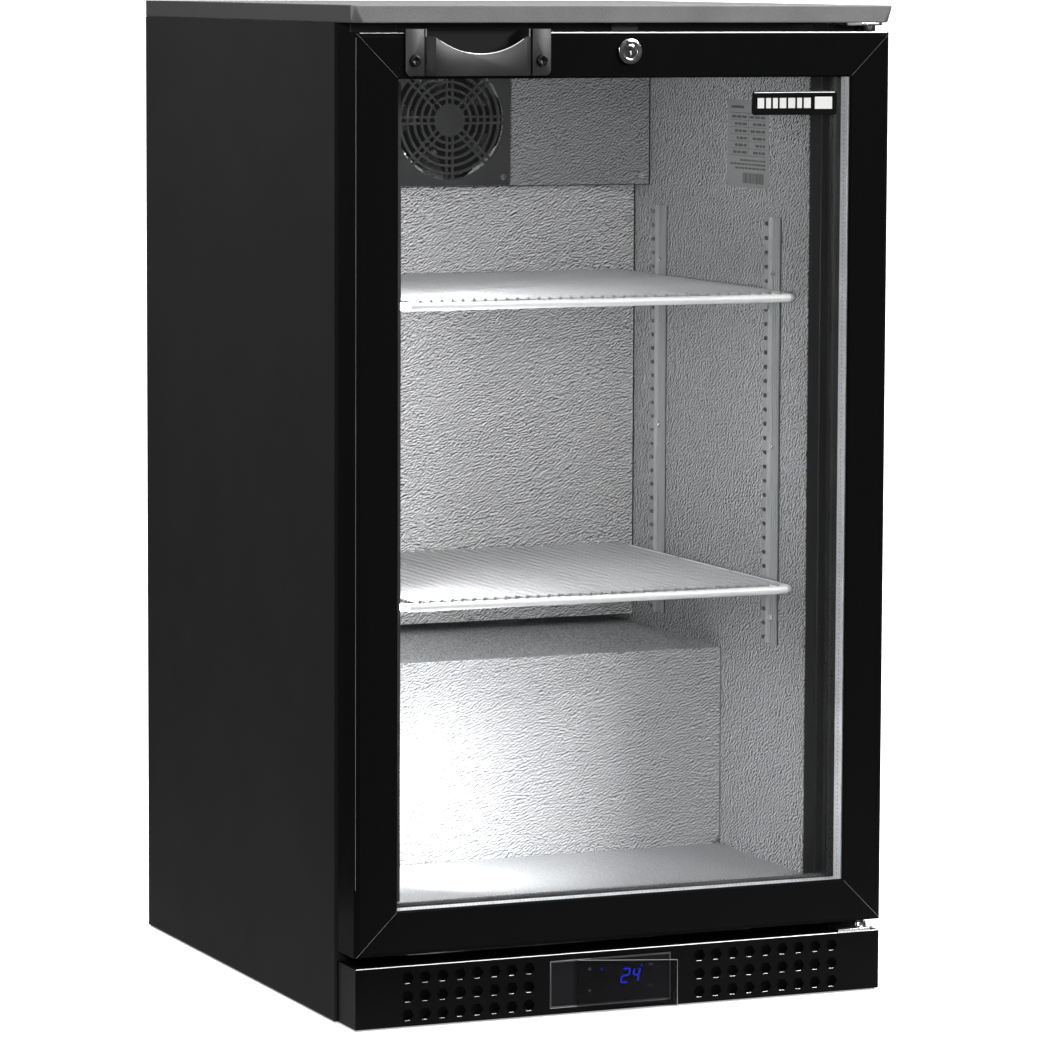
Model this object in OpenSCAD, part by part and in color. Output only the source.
// Under counter fridge: insulated cabinet, one glass door, two wire shelves, forced-air cooling.
// +Z is up and the front faces -Y. The origin is at floor level, under the middle of the cabinet.

/* [Cabinet] */
// overall width of the cabinet
overall_w = 500; // [490:1:520]
// depth from the front lip of the top to the back
overall_d = 530; // [525:1:560]
// overall height
overall_h = 865; // [855:1:885]
// thickness of the top panel
top_t = 15; // [12:1:18]
// thickness of the insulated side walls
wall_t = 56.5; // [52:0.5:60]
// height of the kick panel
kick_h = 54; // [53:0.5:55]

/* [Storage space] */
// height of the floor inside
floor_z = 100; // [98:1:102]
// height of the step over the compressor
step_z = 281; // [270:1:290]
// distance of the step behind the front edge of the side panels
step_setback = 171; // [160:1:180]
// upper face of the upper shelf
upper_shelf_z = 616; // [600:1:630]
// upper face of the lower shelf
lower_shelf_z = 359; // [350:1:375]
// spacing of the lengthwise shelf wires
wire_pitch = 10; // [9.5:0.5:12]
// spacing of the slots in the pilasters
slot_pitch = 12.73; // [12:0.01:12.8]

/* [Door] */
// thickness of the door frame, front to back
door_t = 43; // [42.5:0.5:43]
// face width of the door profiles
profile_w = 38.5; // [37.5:0.5:39]
// sheet thickness of the pull handle
pull_t = 2; // [1.5:0.1:2.5]

/* [Kick panel] */
// width of a hexagonal vent across its flats
vent_af = 9.8; // [8:0.1:11]
// spacing of the vents
vent_pitch = 16; // [14:0.5:16]

/* [Fans] */
// side of the evaporator fan
fan_w = 120; // [110:1:120]
// number of spokes in the fan guard
guard_spokes = 8; // [6:1:10]

/* [Hidden] */
eps = 0.01;
half_w = overall_w / 2;
front_y = -overall_d / 2;
back_y = overall_d / 2;
body_y = front_y + 46;
lip_z = overall_h - top_t;
skin_t = 0.8;
floor_gap = 1.5;
base_t = 1.2;

inner_x = half_w - wall_t;
inner_back = back_y - 57;
ceiling_z = overall_h - 45;
step_y = body_y + step_setback;
duct_y = inner_back - 60;
cover_y = duct_y - 33;

door_x = half_w - 1.5;
door_front = front_y;
door_back = door_front + door_t;
door_z0 = kick_h + 9;
door_z1 = lip_z - 8;
door_h = door_z1 - door_z0;
profile_back_w = profile_w - 4;
glass_y = door_front + 2.5;
pane_t = 4;
spacer_t = 14;
groove_u = 28;
groove_end = glass_y + 2 * pane_t + spacer_t;
pane_x = door_x - groove_u - 0.5;
sight_x = door_x - 37.5;
gasket_in = 44;
gasket_out = 26;

hinge_x = door_x - 14;
hinge_y = door_front + 16.5;
pin_r = 4;
pin_clear = 0.06;

pull_x = -139;
pull_half = 48.5;
pull_face = door_front - 8;
pull_z0 = door_z0 + 743;
pull_z1 = door_z1 + 3.2;
lock_x = 0;
lock_z = door_z1 - 16;

shelf_x = 188;
shelf_y0 = body_y + 4;
shelf_y1 = duct_y - 6;
rail_r = 3.7;
wire_r = 1.5;
cross_r = 2.4;

slot_n = 30;
slot_top_z = 671.2;
front_slot_y = -143.5;
rear_slot_y = 97.5;
pilaster_t = 4;

fan_x = -10;
fan_z = 757;
bay_y = body_y + 211;
bay_z = 241;
flap_x = -42;
flap_y = front_y + 1.7;
flap_rest = 19;

// a box between two opposite corners
module block(low, high) {
    translate(low)
        cube(high - low);
}

// a plate in the XZ plane with a round hole, from y0 to y1
module bored_plate(x0, x1, z0, z1, y0, y1, hole_x, hole_z, hole_r) {
    difference() {
        block([x0, y0, z0], [x1, y1, z1]);
        translate([hole_x, y0 - 1, hole_z])
            rotate([-90, 0, 0])
                cylinder(r = hole_r, h = y1 - y0 + 2);
    }
}

// a tube along Z between two heights
module ring(outer_r, inner_r, z0, z1) {
    translate([0, 0, z0])
        difference() {
            cylinder(r = outer_r, h = z1 - z0);
            translate([0, 0, -1])
                cylinder(r = inner_r, h = z1 - z0 + 2);
        }
}

// a rod along X
module rod_x(x0, x1, y, z, r) {
    translate([x0, y, z])
        rotate([0, 90, 0])
            cylinder(r = r, h = x1 - x0);
}

// a rod along Y
module rod_y(x, y0, y1, z, r) {
    translate([x, y0, z])
        rotate([-90, 0, 0])
            cylinder(r = r, h = y1 - y0);
}

// a rod along Z
module rod_z(x, y, z0, z1, r) {
    translate([x, y, z0])
        cylinder(r = r, h = z1 - z0);
}

// ---------------------------------------------------------------- outer cabinet

// folded side sheet, with its front and rear returns
module side_sheet() {
    fold = 14;
    block([-half_w, body_y, floor_gap], [-half_w + skin_t, back_y, lip_z]);
    block([-half_w, body_y, floor_gap], [-half_w + fold, body_y + skin_t, lip_z]);
    block([-half_w, back_y - skin_t, floor_gap], [-half_w + fold, back_y, lip_z]);
}

module side_panel_left() {
    color([0.11, 0.11, 0.115])
        side_sheet();
}

module side_panel_right() {
    color([0.11, 0.11, 0.115])
        mirror([1, 0, 0])
            side_sheet();
}

module rear_panel() {
    color([0.62, 0.63, 0.64])
        block([-half_w + skin_t, back_y - 2 * skin_t, bay_z], [half_w - skin_t, back_y - skin_t, lip_z]);
}

module top_panel() {
    color([0.22, 0.22, 0.225])
        block([-half_w, front_y + 9, lip_z], [half_w, back_y, overall_h]);
}

// front edge of the top, with corners that taper downwards
module top_front_trim() {
    corner = 7.5;
    depth = 9;
    az = atan2(-corner * top_t, top_t * depth);
    el = atan2(corner * depth, norm([corner * top_t, top_t * depth]));
    color([0.44, 0.44, 0.45])
        difference() {
            block([-half_w, front_y, lip_z], [half_w, front_y + depth, overall_h]);
            for (side = [0, 1])
                mirror([side, 0, 0])
                    translate([half_w, front_y, overall_h])
                        rotate([0, el, az])
                            translate([0, -40, -40])
                                cube(80);
        }
}

module base_tray() {
    hem = 8;
    tray_x = half_w - skin_t;
    color([0.6, 0.61, 0.62])
        union() {
            block([-tray_x, body_y + 4, 0], [tray_x, back_y - 3, base_t]);
            block([-tray_x, body_y + 4, 0], [-tray_x + base_t, back_y - 3, hem]);
            block([tray_x - base_t, body_y + 4, 0], [tray_x, back_y - 3, hem]);
        }
}

// steel lining between the insulation and the compressor bay
module bay_lining() {
    color([0.6, 0.61, 0.62])
        union() {
            block([-half_w + 16, body_y + 2, kick_h + 1], [half_w - 16, bay_y, kick_h + 2]);
            block([-half_w + 16, bay_y, kick_h + 1], [half_w - 16, bay_y + 1, bay_z]);
            block([-half_w + 16, bay_y, bay_z - 1], [half_w - 16, back_y - 3, bay_z]);
        }
}

// foamed walls, floor, ceiling, back and hump
module insulation_foam() {
    side_x = half_w - skin_t;
    wall_x = inner_x + skin_t;
    f0 = body_y + 20;
    rear = back_y - 2 * skin_t;
    color([0.86, 0.8, 0.62])
        union() {
            for (side = [-1, 1])
                block([min(side * side_x, side * wall_x), f0, kick_h + 2],
                      [max(side * side_x, side * wall_x), bay_y, ceiling_z + skin_t]);
            for (side = [-1, 1])
                block([min(side * side_x, side * wall_x), bay_y, bay_z],
                      [max(side * side_x, side * wall_x), rear, ceiling_z + skin_t]);
            block([-side_x, f0, ceiling_z + skin_t], [side_x, rear, lip_z]);
            block([-side_x, inner_back + skin_t, bay_z], [side_x, rear, lip_z]);
            block([-side_x, f0, kick_h + 2], [side_x, bay_y, floor_z - skin_t]);
            block([-side_x, step_y + skin_t, kick_h + 2], [side_x, bay_y, step_z - skin_t]);
            block([-side_x, step_y + skin_t, bay_z], [side_x, rear, step_z - skin_t]);
        }
}

// ---------------------------------------------------------------- inner lining

module liner_left() {
    color([0.75, 0.76, 0.77])
        union() {
            block([-inner_x - skin_t, body_y, floor_z], [-inner_x, step_y + skin_t, ceiling_z]);
            block([-inner_x - skin_t, step_y, step_z - skin_t], [-inner_x, inner_back, ceiling_z]);
        }
}

module liner_right() {
    color([0.75, 0.76, 0.77])
        union() {
            block([inner_x, body_y, floor_z], [inner_x + skin_t, step_y + skin_t, ceiling_z]);
            block([inner_x, step_y, step_z - skin_t], [inner_x + skin_t, inner_back, ceiling_z]);
        }
}

module liner_ceiling() {
    color([0.75, 0.76, 0.77])
        block([-inner_x - skin_t, body_y, ceiling_z],
              [inner_x + skin_t, inner_back + skin_t, ceiling_z + skin_t]);
}

module liner_back() {
    color([0.75, 0.76, 0.77])
        block([-inner_x - skin_t, inner_back, step_z], [inner_x + skin_t, inner_back + skin_t, ceiling_z]);
}

module liner_floor() {
    color([0.75, 0.76, 0.77])
        block([-inner_x - skin_t, body_y, floor_z - skin_t], [inner_x + skin_t, step_y, floor_z]);
}

// folded sheet over the compressor hump
module liner_step() {
    color([0.75, 0.76, 0.77])
        union() {
            block([-inner_x, step_y, floor_z], [inner_x, step_y + skin_t, step_z]);
            block([-inner_x, step_y, step_z - skin_t], [inner_x, inner_back, step_z]);
        }
}

module breaker_strips_upright() {
    color([0.13, 0.13, 0.13])
        for (side = [-1, 1])
            block([min(side * (inner_x + skin_t), side * (half_w - 14)), body_y, kick_h + 3],
                  [max(side * (inner_x + skin_t), side * (half_w - 14)), body_y + 18, lip_z]);
}

module breaker_strips_level() {
    color([0.13, 0.13, 0.13])
        union() {
            block([-inner_x - skin_t, body_y, ceiling_z + skin_t], [inner_x + skin_t, body_y + 18, lip_z]);
            block([-inner_x - skin_t, body_y, kick_h + 3], [inner_x + skin_t, body_y + 18, floor_z - skin_t]);
        }
}

// upright with a slotted raised rib, drawn for the right wall
module pilaster(slot_y) {
    z0 = slot_top_z - slot_pitch * (slot_n - 1) - 5;
    z1 = slot_top_z + 6;
    color([0.66, 0.67, 0.68])
        difference() {
            union() {
                translate([0, 0, z0])
                    linear_extrude(height = z1 - z0)
                        polygon([[inner_x, slot_y + 7], [inner_x - 1.2, slot_y + 7],
                                 [inner_x - pilaster_t, slot_y + 4.5], [inner_x - pilaster_t, slot_y - 4.5],
                                 [inner_x - 1.6, slot_y - 7], [inner_x - 1.6, slot_y - 21.5],
                                 [inner_x, slot_y - 21.5], [inner_x, slot_y - 5.6],
                                 [inner_x - pilaster_t + 1.2, slot_y - 4],
                                 [inner_x - pilaster_t + 1.2, slot_y + 4], [inner_x, slot_y + 5.6]]);
                for (k = [0:2])
                    block([inner_x - 2.2, slot_y - 19 + 4 * k, z0],
                          [inner_x - 1.4, slot_y - 17.6 + 4 * k, z1]);
            }
            for (k = [0:slot_n - 1])
                translate([inner_x - pilaster_t - 1, slot_y, slot_top_z - slot_pitch * k])
                    rotate([0, 90, 0])
                        rotate([0, 0, 90])
                            linear_extrude(height = 2.6)
                                union() {
                                    square([4.4, 3.6], center = true);
                                    translate([2.2, 0])
                                        circle(r = 1.8);
                                    translate([-2.2, 0])
                                        circle(r = 1.8);
                                }
        }
}

module pilasters_right() {
    pilaster(front_slot_y);
    pilaster(rear_slot_y);
}

module pilasters_left() {
    mirror([1, 0, 0])
        pilasters_right();
}

// hooks that carry the shelves
module shelf_clips() {
    rest = 7.7;
    color([0.72, 0.73, 0.74])
        for (z = [upper_shelf_z, lower_shelf_z], y = [front_slot_y, rear_slot_y], side = [0, 1])
            mirror([side, 0, 0])
                translate([inner_x - pilaster_t, y, z - rest])
                    union() {
                        block([-10, -9, -1.8], [-0.1, 9, -0.4]);
                        block([-10, -9, -6.5], [-8.6, 9, -1.7]);
                        block([-1.5, -6, -12.8], [-0.1, 6, -1.7]);
                    }
}

// pan head of a screw, pointing the way given
module pan_head(pos, turn, r, h) {
    translate(pos)
        rotate(turn)
            difference() {
                cylinder(r1 = r, r2 = r * 0.8, h = h);
                for (a = [0, 90])
                    rotate([0, 0, a])
                        translate([-r * 0.55, -r * 0.12, h * 0.5])
                            cube([r * 1.1, r * 0.24, h]);
            }
}

module interior_screws() {
    color([0.8, 0.81, 0.82])
        union() {
            for (side = [-1, 1], y = [front_slot_y, rear_slot_y], z = [626.5, 473.5, 321])
                pan_head([side * (inner_x - 2.2), y - 11, z + 0.1], [0, -side * 90, 0], 3.2, 1.8);
            for (side = [-1, 1])
                pan_head([side * 184, cover_y, 704], [90, 0, 0], 3.6, 2);
            for (sx = [-1, 1], sz = [-1, 1])
                pan_head([fan_x + sx * 52.5, cover_y - 4.5, fan_z + sz * 52.5], [90, 0, 0], 3.4, 1.8);
            for (side = [-1, 1])
                pan_head([side * 187, duct_y, 662.4], [90, 0, 0], 3.6, 2);
            for (side = [-1, 1])
                pan_head([side * 187, duct_y, 310], [90, 0, 0], 3.6, 2);
        }
}

// channel of the interior light, with a front lip that hides the light from outside
module led_housing() {
    color([0.06, 0.06, 0.06])
        union() {
            block([-inner_x, body_y + 3, 130], [-inner_x + 1.2, body_y + 21, 800]);
            block([-inner_x, body_y + 3, 130], [-inner_x + 5, body_y + 4.2, 800]);
        }
}

module led_strip() {
    color([0.92, 0.93, 0.95])
        block([-inner_x + 1.2, body_y + 6, 134], [-inner_x + 4, body_y + 20, 796]);
}

module rating_sticker() {
    color([0.85, 0.85, 0.84])
        block([inner_x - 0.25, -139, 701], [inner_x, -53, 779.5]);
}

// ---------------------------------------------------------------- cold air side

module evaporator_cover() {
    color([0.75, 0.76, 0.77])
        difference() {
            union() {
                block([-inner_x + 0.3, cover_y, 696], [inner_x - 0.3, cover_y + 0.9, ceiling_z]);
                block([-inner_x + 0.3, cover_y, 696], [inner_x - 0.3, duct_y, 696.9]);
            }
            rod_y(fan_x, cover_y - 1, cover_y + 2, fan_z, fan_w / 2 - 6);
        }
}

module evaporator_fan_guard() {
    t = 2.2;
    y0 = cover_y - 4.5;
    half = fan_w / 2;
    color([0.06, 0.06, 0.06])
        translate([fan_x, y0, fan_z])
            rotate([-90, 0, 0])
                union() {
                    difference() {
                        translate([-half, -half, 0])
                            cube([fan_w, fan_w, 4.5]);
                        translate([0, 0, -1])
                            cylinder(r = half - 5.5, h = 7);
                    }
                    cylinder(r = 15, h = t);
                    for (k = [1:5])
                        ring(14.1 + k * 6.9 + 1.2, 14.1 + k * 6.9 - 1.2, 0, t);
                    for (k = [0:guard_spokes - 1])
                        rotate([0, 0, k * 360 / guard_spokes])
                            for (s = [-1, 1])
                                translate([8, s * 2.9 - 1.1, 0])
                                    cube([half - 12, 2.2, t]);
                }
}

module evaporator_fan_frame() {
    half = fan_w / 2 - 1;
    y0 = cover_y + 0.9;
    color([0.05, 0.05, 0.05])
        difference() {
            union() {
                difference() {
                    block([fan_x - half, y0, fan_z - half], [fan_x + half, y0 + 26, fan_z + half]);
                    rod_y(fan_x, y0 - 1, y0 + 27, fan_z, half - 3);
                }
                rod_y(fan_x, y0 + 17, y0 + 25.5, fan_z, 18);
                for (a = [45:90:315])
                    translate([fan_x, y0 + 21, fan_z])
                        rotate([0, a, 0])
                            block([16, 0, -3], [half + 3, 4, 3]);
            }
            rod_y(fan_x, y0 + 15, y0 + 24, fan_z, 2.05);
        }
}

// five raked blades round a hub
module rotor(r_hub, r_tip, depth) {
    cylinder(r = r_hub, h = depth);
    for (k = [0:4])
        rotate([0, 0, k * 72])
            translate([r_hub - 2, 0, depth / 2])
                rotate([32, 0, 0])
                    translate([0, -15, -0.8])
                        cube([r_tip - r_hub, 30, 1.6]);
}

module evaporator_fan_blades() {
    y0 = cover_y + 3;
    color([0.12, 0.12, 0.12])
        translate([fan_x, y0, fan_z])
            rotate([-90, 0, 0]) {
                rotor(17, fan_w / 2 - 7, 14);
                cylinder(r = 2, h = 20);
            }
}

module evaporator_coil() {
    y0 = duct_y + 4;
    y1 = inner_back;
    color([0.72, 0.66, 0.6])
        union() {
            for (x = [-150:15:150])
                block([x - 0.5, y0, 712], [x + 0.5, y1, 808]);
            for (z = [726, 748, 770, 792], y = [y0 + 14, y1 - 16])
                rod_x(-160, 160, y, z, 4);
        }
}

module air_duct_panel() {
    color([0.75, 0.76, 0.77])
        union() {
            block([-inner_x + 0.3, duct_y, 289], [inner_x - 0.3, duct_y + 0.9, 698]);
            block([-inner_x + 0.3, duct_y, 289], [inner_x - 0.3, duct_y + 10, 289.9]);
        }
}

// ---------------------------------------------------------------- door hinges and kick

module hinge_plate(z0, z1) {
    block([hinge_x - 27.5, door_front + 1, z0], [hinge_x + 9, body_y, z1]);
}

module hinge_brackets() {
    color([0.75, 0.75, 0.76])
        union() {
            difference() {
                hinge_plate(lip_z - 2.5, lip_z);
                translate([hinge_x + 9, door_front + 1, lip_z - 5])
                    rotate([0, 0, 45])
                        cube([8, 8, 20], center = true);
            }
            rod_z(hinge_x, hinge_y, door_z1 - 12, lip_z - 2.4, pin_r);
            rod_z(hinge_x, hinge_y, lip_z - 7.5, lip_z - 2.4, 6.5);
            difference() {
                hinge_plate(kick_h, kick_h + 2.5);
                translate([hinge_x + 9, door_front + 1, kick_h])
                    rotate([0, 0, 45])
                        cube([8, 8, 20], center = true);
            }
            rod_z(hinge_x, hinge_y, kick_h + 2.4, door_z0 + 12, pin_r);
            rod_z(hinge_x, hinge_y, kick_h + 2.4, kick_h + 6, 6.5);
        }
}

module lock_keeper() {
    x0 = lock_x - 12;
    color([0.08, 0.08, 0.08])
        union() {
            block([x0, door_front + 9.5, lip_z - 1.5], [x0 + 24, door_front + 26, lip_z]);
            block([x0, door_front + 9.5, lip_z - 7], [x0 + 24, door_front + 11, lip_z]);
        }
}

module vent_group(x0, count) {
    for (i = [0:count - 1], k = [0:2])
        translate([x0 + i * vent_pitch, front_y, kick_h - 11 - k * vent_pitch])
            rotate([90, 0, 0])
                cylinder(r = vent_af / sqrt(3), h = 12, center = true, $fn = 6);
}

module kick_panel() {
    x = half_w - 2.5;
    y0 = front_y + 2.5;
    t = 1.2;
    color([0.08, 0.08, 0.08])
        difference() {
            union() {
                block([-x, y0, floor_gap], [x, y0 + t, kick_h - 0.4]);
                block([-x, y0, kick_h - 0.4 - t], [x, body_y - 0.3, kick_h - 0.4]);
                for (side = [-1, 1])
                    block([min(side * x, side * (x - t)), y0, floor_gap],
                          [max(side * x, side * (x - t)), body_y - 0.3, kick_h - 0.4]);
                block([-x, y0, floor_gap], [x, y0 + 9, floor_gap + t]);
            }
            vent_group(-199.9, 8);
            vent_group(73.1, 9);
            block([-68.5, y0 - 1, 6], [46.7, y0 + t + 1, 48.2]);
        }
}

module controller_housing() {
    y0 = front_y + 3;
    color([0.1, 0.1, 0.1])
        difference() {
            block([-68.2, y0, 6.3], [46.4, y0 + 34, 47.9]);
            block([-66.4, y0 - 1, 8.1], [44.6, y0 + 3, 46.1]);
        }
}

module controller_screen() {
    y0 = front_y + 4.5;
    color([0.03, 0.03, 0.04])
        block([-66.3, y0, 8.2], [44.5, y0 + 1.5, 46]);
}

// clear cover of the controller, standing ajar
module controller_flap() {
    w = 85.5;
    color([0.25, 0.25, 0.27, 0.5])
        translate([flap_x, flap_y, 0])
            rotate([0, 0, -flap_rest])
                union() {
                    block([-0.5, -0.75, 7], [w, 0.75, 47.4]);
                    block([w - 4, -1.6, 7], [w, 0.75, 47.4]);
                    rod_z(0, 0, 7, 47.4, 0.95);
                }
}

// ---------------------------------------------------------------- machinery

module compressor() {
    cx = 95;
    cy = 130;
    color([0.06, 0.06, 0.065])
        union() {
            translate([cx, cy, 26])
                cylinder(r = 62, h = 96);
            translate([cx, cy, 122])
                cylinder(r1 = 62, r2 = 44, h = 22);
            translate([cx, cy, 144])
                cylinder(r1 = 44, r2 = 14, h = 9);
            block([cx - 88, cy - 40, 20], [cx + 88, cy + 40, 23]);
            translate([cx, cy, 22.9])
                cylinder(r = 50, h = 4);
            for (sx = [-1, 1], sy = [-1, 1])
                translate([cx + sx * 78, cy + sy * 30, base_t])
                    cylinder(r = 9, h = 20.1 - base_t);
            block([cx - 80, cy - 26, 60], [cx - 58, cy + 26, 108]);
        }
}

module condenser_coil() {
    color([0.1, 0.1, 0.1])
        union() {
            for (x = [-178:12:-58])
                block([x - 0.5, 80, base_t], [x + 0.5, 130, 178]);
            for (z = [30, 62, 94, 126, 158], y = [93, 117])
                rod_x(-184, -52, y, z, 4);
        }
}

module condenser_fan_frame() {
    color([0.3, 0.31, 0.32])
        difference() {
            union() {
                bored_plate(-178, -58, 20, 170, 140, 141.5, -118, 95, 55);
                rod_y(-118, 166, 206, 95, 24);
                for (a = [45:90:315])
                    translate([-118, 168, 95])
                        rotate([0, a, 0])
                            block([20, 0, -4], [62, 1.5, 4]);
                for (sx = [-1, 1], sz = [-1, 1])
                    rod_y(-118 + sx * 43, 141, 170, 95 + sz * 43, 3);
                block([-178, 140, base_t], [-58, 160, base_t + 1.5]);
                block([-178, 140, base_t], [-58, 141.5, 21]);
            }
            rod_y(-118, 164, 186, 95, 3.05);
        }
}

module condenser_fan_blades() {
    color([0.75, 0.76, 0.77])
        translate([-118, 145, 95])
            rotate([-90, 0, 0]) {
                rotor(14, 50, 14);
                cylinder(r = 3, h = 32);
            }
}

module drip_tray() {
    color([0.2, 0.2, 0.21])
        difference() {
            block([40, 92, 153], [140, 168, 178]);
            block([42, 94, 155], [138, 166, 180]);
        }
}

// rounded corner between two pipe runs
module pipe_bend(x, y, z, r) {
    translate([x, y, z])
        sphere(r = r + 0.2);
}

// discharge, liquid and suction lines with the filter drier
module refrigerant_pipes() {
    color([0.72, 0.42, 0.25])
        union() {
            rod_x(20, 33, 130, 115, 3);
            pipe_bend(20, 130, 115, 3);
            rod_y(20, 130, 190, 115, 3);
            pipe_bend(20, 190, 115, 3);
            rod_z(20, 190, 115, 200, 3);
            pipe_bend(20, 190, 200, 3);
            rod_x(-124, 20, 190, 200, 3);
            pipe_bend(-124, 190, 200, 3);
            rod_y(-124, 117, 190, 200, 3);
            pipe_bend(-124, 117, 200, 3);
            rod_z(-124, 117, 162, 200, 3);
            rod_x(-51.9, -20, 93, 30, 3);
            pipe_bend(-20, 93, 30, 3);
            rod_z(-20, 93, 30, bay_z - 1, 3);
            rod_z(-20, 93, 60, 140, 9);
            rod_z(150, 130, 135.5, 200, 4);
            pipe_bend(150, 130, 200, 4);
            rod_y(150, 130, 240, 200, 4);
            pipe_bend(150, 240, 200, 4);
            rod_z(150, 240, 200, bay_z - 1, 4);
        }
}

module rear_grille() {
    z0 = 8;
    z1 = bay_z - 3;
    y0 = back_y - 2.4;
    color([0.1, 0.1, 0.1])
        difference() {
            block([-half_w + 15, y0, z0], [half_w - 15, y0 + 1.2, z1]);
            for (k = [0:13])
                for (x = [-200, -60, 80])
                    block([x, y0 - 1, 30 + k * 14], [x + 120, y0 + 3, 35 + k * 14]);
            rod_y(215, y0 - 1, y0 + 3, 30, 7);
        }
}

module cord_gland() {
    y0 = back_y - 8;
    color([0.04, 0.04, 0.04])
        translate([215, y0, 30])
            rotate([-90, 0, 0])
                difference() {
                    union() {
                        cylinder(r = 10, h = 5.4);
                        cylinder(r = 6.8, h = 8);
                    }
                    translate([0, 0, -1])
                        cylinder(r = 4, h = 12);
                }
}

// ---------------------------------------------------------------- door

// section of a door profile: across the face, then front to back
module profile_section() {
    bevel = 4;
    difference() {
        polygon([[0, bevel], [bevel, 0], [profile_w - 1.6, 0], [profile_w, 1.6], [profile_w, 2.4],
                 [groove_u, 2.4], [groove_u, 24.6], [profile_back_w, 24.6], [profile_back_w, door_t],
                 [3, door_t], [0, door_t - 3]]);
        polygon([[2.2, bevel + 1], [bevel + 1, 2.2], [groove_u - 2, 2.2], [groove_u - 2, 26.6],
                 [profile_back_w - 3, 26.6], [profile_back_w - 3, door_t - 2], [4, door_t - 2],
                 [2.2, door_t - 4]]);
    }
}

// an upright bar at the left, cut at 45 degrees at both ends
module mitred_bar(long) {
    intersection() {
        linear_extrude(height = long)
            profile_section();
        rotate([90, 0, 0])
            translate([0, 0, -door_t - 5])
                linear_extrude(height = door_t + 10)
                    polygon([[-1, -1], [60, 60], [60, long - 60], [-1, long + 1]]);
    }
}

module door_profile_left() {
    color([0.07, 0.07, 0.075])
        translate([-door_x, door_front, door_z0])
            mitred_bar(door_h);
}

module door_profile_right() {
    color([0.07, 0.07, 0.075])
        mirror([1, 0, 0])
            translate([-door_x, door_front, door_z0])
                mitred_bar(door_h);
}

module level_bar() {
    rotate([0, 90, 0])
        mirror([1, 0, 0])
            mitred_bar(2 * door_x);
}

module door_profile_bottom() {
    color([0.07, 0.07, 0.075])
        difference() {
            translate([-door_x, door_front, door_z0])
                level_bar();
            rod_z(hinge_x, hinge_y, door_z0 - 1, door_z0 + 14, pin_r + pin_clear);
        }
}

module door_profile_top() {
    color([0.07, 0.07, 0.075])
        difference() {
            translate([0, 0, door_z0 + door_z1])
                mirror([0, 0, 1])
                    translate([-door_x, door_front, door_z0])
                        level_bar();
            rod_z(hinge_x, hinge_y, door_z1 - 14, door_z1 + 1, pin_r + pin_clear);
            block([pull_x - pull_half, door_front - 1, door_z1 - 25.4],
                  [pull_x + pull_half, door_front + 20, door_z1 + 1]);
            rod_y(lock_x, door_front - 1, door_front + 14, lock_z, 8.6);
            block([lock_x - 8.5, door_front + 12.2, lock_z], [lock_x + 20, door_front + 17, door_z1 + 1]);
        }
}

module door_glass() {
    color([0.85, 0.9, 0.9, 0.3])
        for (y = [glass_y, glass_y + pane_t + spacer_t])
            block([-pane_x, y, door_z0 + groove_u + 0.5], [pane_x, y + pane_t, door_z1 - groove_u - 0.5]);
}

module door_spacer() {
    y0 = glass_y + pane_t;
    inset = door_x - sight_x;
    color([0.7, 0.71, 0.72])
        difference() {
            block([-pane_x, y0, door_z0 + groove_u + 0.5], [pane_x, y0 + spacer_t, door_z1 - groove_u - 0.5]);
            block([-sight_x, y0 - 1, door_z0 + inset], [sight_x, y0 + spacer_t + 1, door_z1 - inset]);
        }
}

module door_gasket() {
    y1 = body_y - 0.4;
    color([0.04, 0.04, 0.04])
        difference() {
            block([-door_x + gasket_out, door_back, door_z0 + gasket_out - 8],
                  [door_x - gasket_out, y1, door_z1 - gasket_out + 8]);
            block([-door_x + gasket_in, door_back - 1, door_z0 + gasket_in - 8],
                  [door_x - gasket_in, y1 + 1, door_z1 - gasket_in + 8]);
        }
}

// bent pull wall and the finger cup behind it
module handle_cup() {
    z_floor = door_z1 - 25;
    face = pull_face;
    smile_r = 66;
    color([0.12, 0.12, 0.125])
        union() {
            difference() {
                translate([0, 0, pull_z0])
                    linear_extrude(height = pull_z1 - 6.5 - pull_z0)
                        difference() {
                            polygon([[pull_x - pull_half - 0.4, door_front], [pull_x - 41, face],
                                     [pull_x + 41, face], [pull_x + pull_half + 0.4, door_front]]);
                            polygon([[pull_x - pull_half + 2, door_front + eps],
                                     [pull_x - 40, face + pull_t], [pull_x + 40, face + pull_t],
                                     [pull_x + pull_half - 2, door_front + eps]]);
                        }
                translate([pull_x, face - 2, door_z1 - 18 + smile_r])
                    rotate([-90, 0, 0])
                        cylinder(r = smile_r, h = 14);
            }
            block([pull_x - 46.5, door_front - 0.2, z_floor],
                  [pull_x + 46.5, door_front + 19.5, z_floor + 1.6]);
            translate([0, 0, z_floor])
                linear_extrude(height = 1.6)
                    polygon([[pull_x - pull_half + 1, door_front], [pull_x - 40.5, face + 1],
                             [pull_x + 40.5, face + 1], [pull_x + pull_half - 1, door_front]]);
            block([pull_x - 47.7, door_front + 18, z_floor], [pull_x + 47.7, door_front + 19.6, pull_z1]);
            for (side = [-1, 1])
                block([pull_x + side * 47 - 0.7, door_front - 0.2, z_floor],
                      [pull_x + side * 47 + 0.7, door_front + 19.6, pull_z1]);
        }
}

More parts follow.
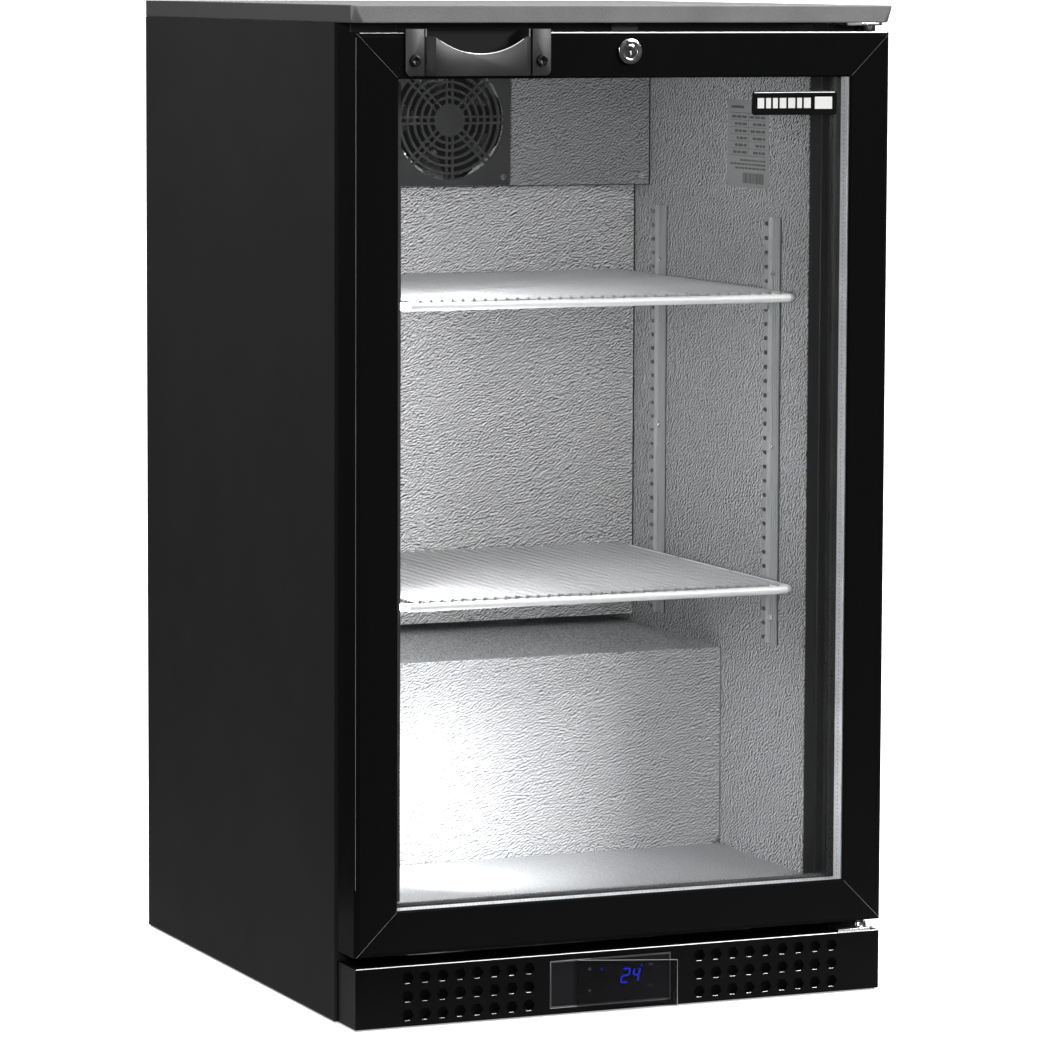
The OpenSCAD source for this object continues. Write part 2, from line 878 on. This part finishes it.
module handle_bracket() {
    w = 17;
    r = 5;
    translate([pull_x - pull_half - 0.5 - w, 0, 0])
        union() {
            translate([0, door_front, pull_z0])
                rotate([90, 0, 0])
                    linear_extrude(height = 2.6)
                        union() {
                            translate([0, r])
                                square([w, pull_z1 - pull_z0 - r]);
                            translate([r, 0])
                                square([w - r, r + 1]);
                            translate([r, r])
                                circle(r = r);
                        }
            block([0, door_front - 2.6, door_z1 + 0.1], [w, door_front + 19.6, pull_z1]);
        }
}

module handle_brackets() {
    color([0.16, 0.16, 0.165])
        union() {
            handle_bracket();
            translate([2 * pull_x, 0, 0])
                mirror([1, 0, 0])
                    handle_bracket();
        }
}

module handle_screws() {
    color([0.06, 0.06, 0.06])
        for (side = [-1, 1])
            pan_head([pull_x + side * 57.5, door_front - 2.6, door_z1 - 23.3], [90, 0, 0], 5.4, 2.6);
}

module door_badge() {
    color([0.02, 0.02, 0.02])
        block([116.7, glass_y - 1.2, 770.9], [197.5, glass_y, 791.6]);
}

module lock_barrel() {
    color([0.85, 0.85, 0.86])
        difference() {
            union() {
                rod_y(lock_x, door_front - 3, door_front, lock_z, 10.9);
                rod_y(lock_x, door_front - 0.5, door_front + 12, lock_z, 8.5);
            }
            rod_y(lock_x, door_front - 4, door_front + 13, lock_z, 6.05);
        }
}

// turning plug with its keyway and cam
module lock_plug() {
    color([0.8, 0.8, 0.81])
        union() {
            difference() {
                rod_y(lock_x, door_front - 2.6, door_front + 12.6, lock_z, 6);
                block([lock_x - 0.9, door_front - 4, lock_z - 4], [lock_x + 0.9, door_front + 4, lock_z + 4]);
            }
            block([lock_x - 6, door_front + 12.6, lock_z - 5],
                  [lock_x + 20.5, door_front + 14.6, lock_z + 5]);
        }
}

// ---------------------------------------------------------------- shelves

// wire shelf whose upper face is at the given height
module wire_shelf(z) {
    wire_z = z - wire_r;
    rail_z = z - 2 * wire_r - rail_r + 1.2;
    cross_z = z - 2 * wire_r - cross_r + 0.6;
    n = floor((shelf_x - 8) / wire_pitch);
    color([0.93, 0.93, 0.93])
        union() {
            rod_x(-shelf_x, shelf_x, shelf_y0 + rail_r, rail_z, rail_r);
            rod_x(-shelf_x + 4, shelf_x - 4, shelf_y1 - cross_r, cross_z, cross_r);
            for (y = [shelf_y0 + 126, shelf_y0 + 240])
                rod_x(-shelf_x + 4, shelf_x - 4, y, cross_z, cross_r);
            for (side = [-1, 1])
                rod_y(side * (shelf_x - 3), shelf_y0 + rail_r, shelf_y1, rail_z + 0.5, 2.8);
            for (k = [-n:n])
                rod_y(k * wire_pitch, shelf_y0 + 1, shelf_y1, wire_z, wire_r);
        }
}

module shelf_upper() {
    wire_shelf(upper_shelf_z);
}

module shelf_lower() {
    wire_shelf(lower_shelf_z);
}

side_panel_left();
side_panel_right();
rear_panel();
top_panel();
top_front_trim();
base_tray();
bay_lining();
insulation_foam();
liner_left();
liner_right();
liner_ceiling();
liner_back();
liner_floor();
liner_step();
breaker_strips_upright();
breaker_strips_level();
pilasters_left();
pilasters_right();
shelf_clips();
interior_screws();
led_housing();
led_strip();
rating_sticker();
evaporator_cover();
evaporator_fan_guard();
evaporator_fan_frame();
evaporator_fan_blades();
evaporator_coil();
air_duct_panel();
hinge_brackets();
lock_keeper();
kick_panel();
controller_housing();
controller_screen();
controller_flap();
compressor();
condenser_coil();
condenser_fan_frame();
condenser_fan_blades();
drip_tray();
refrigerant_pipes();
rear_grille();
cord_gland();
door_profile_left();
door_profile_right();
door_profile_top();
door_profile_bottom();
door_glass();
door_spacer();
door_gasket();
handle_cup();
handle_brackets();
handle_screws();
door_badge();
lock_barrel();
lock_plug();
shelf_upper();
shelf_lower();
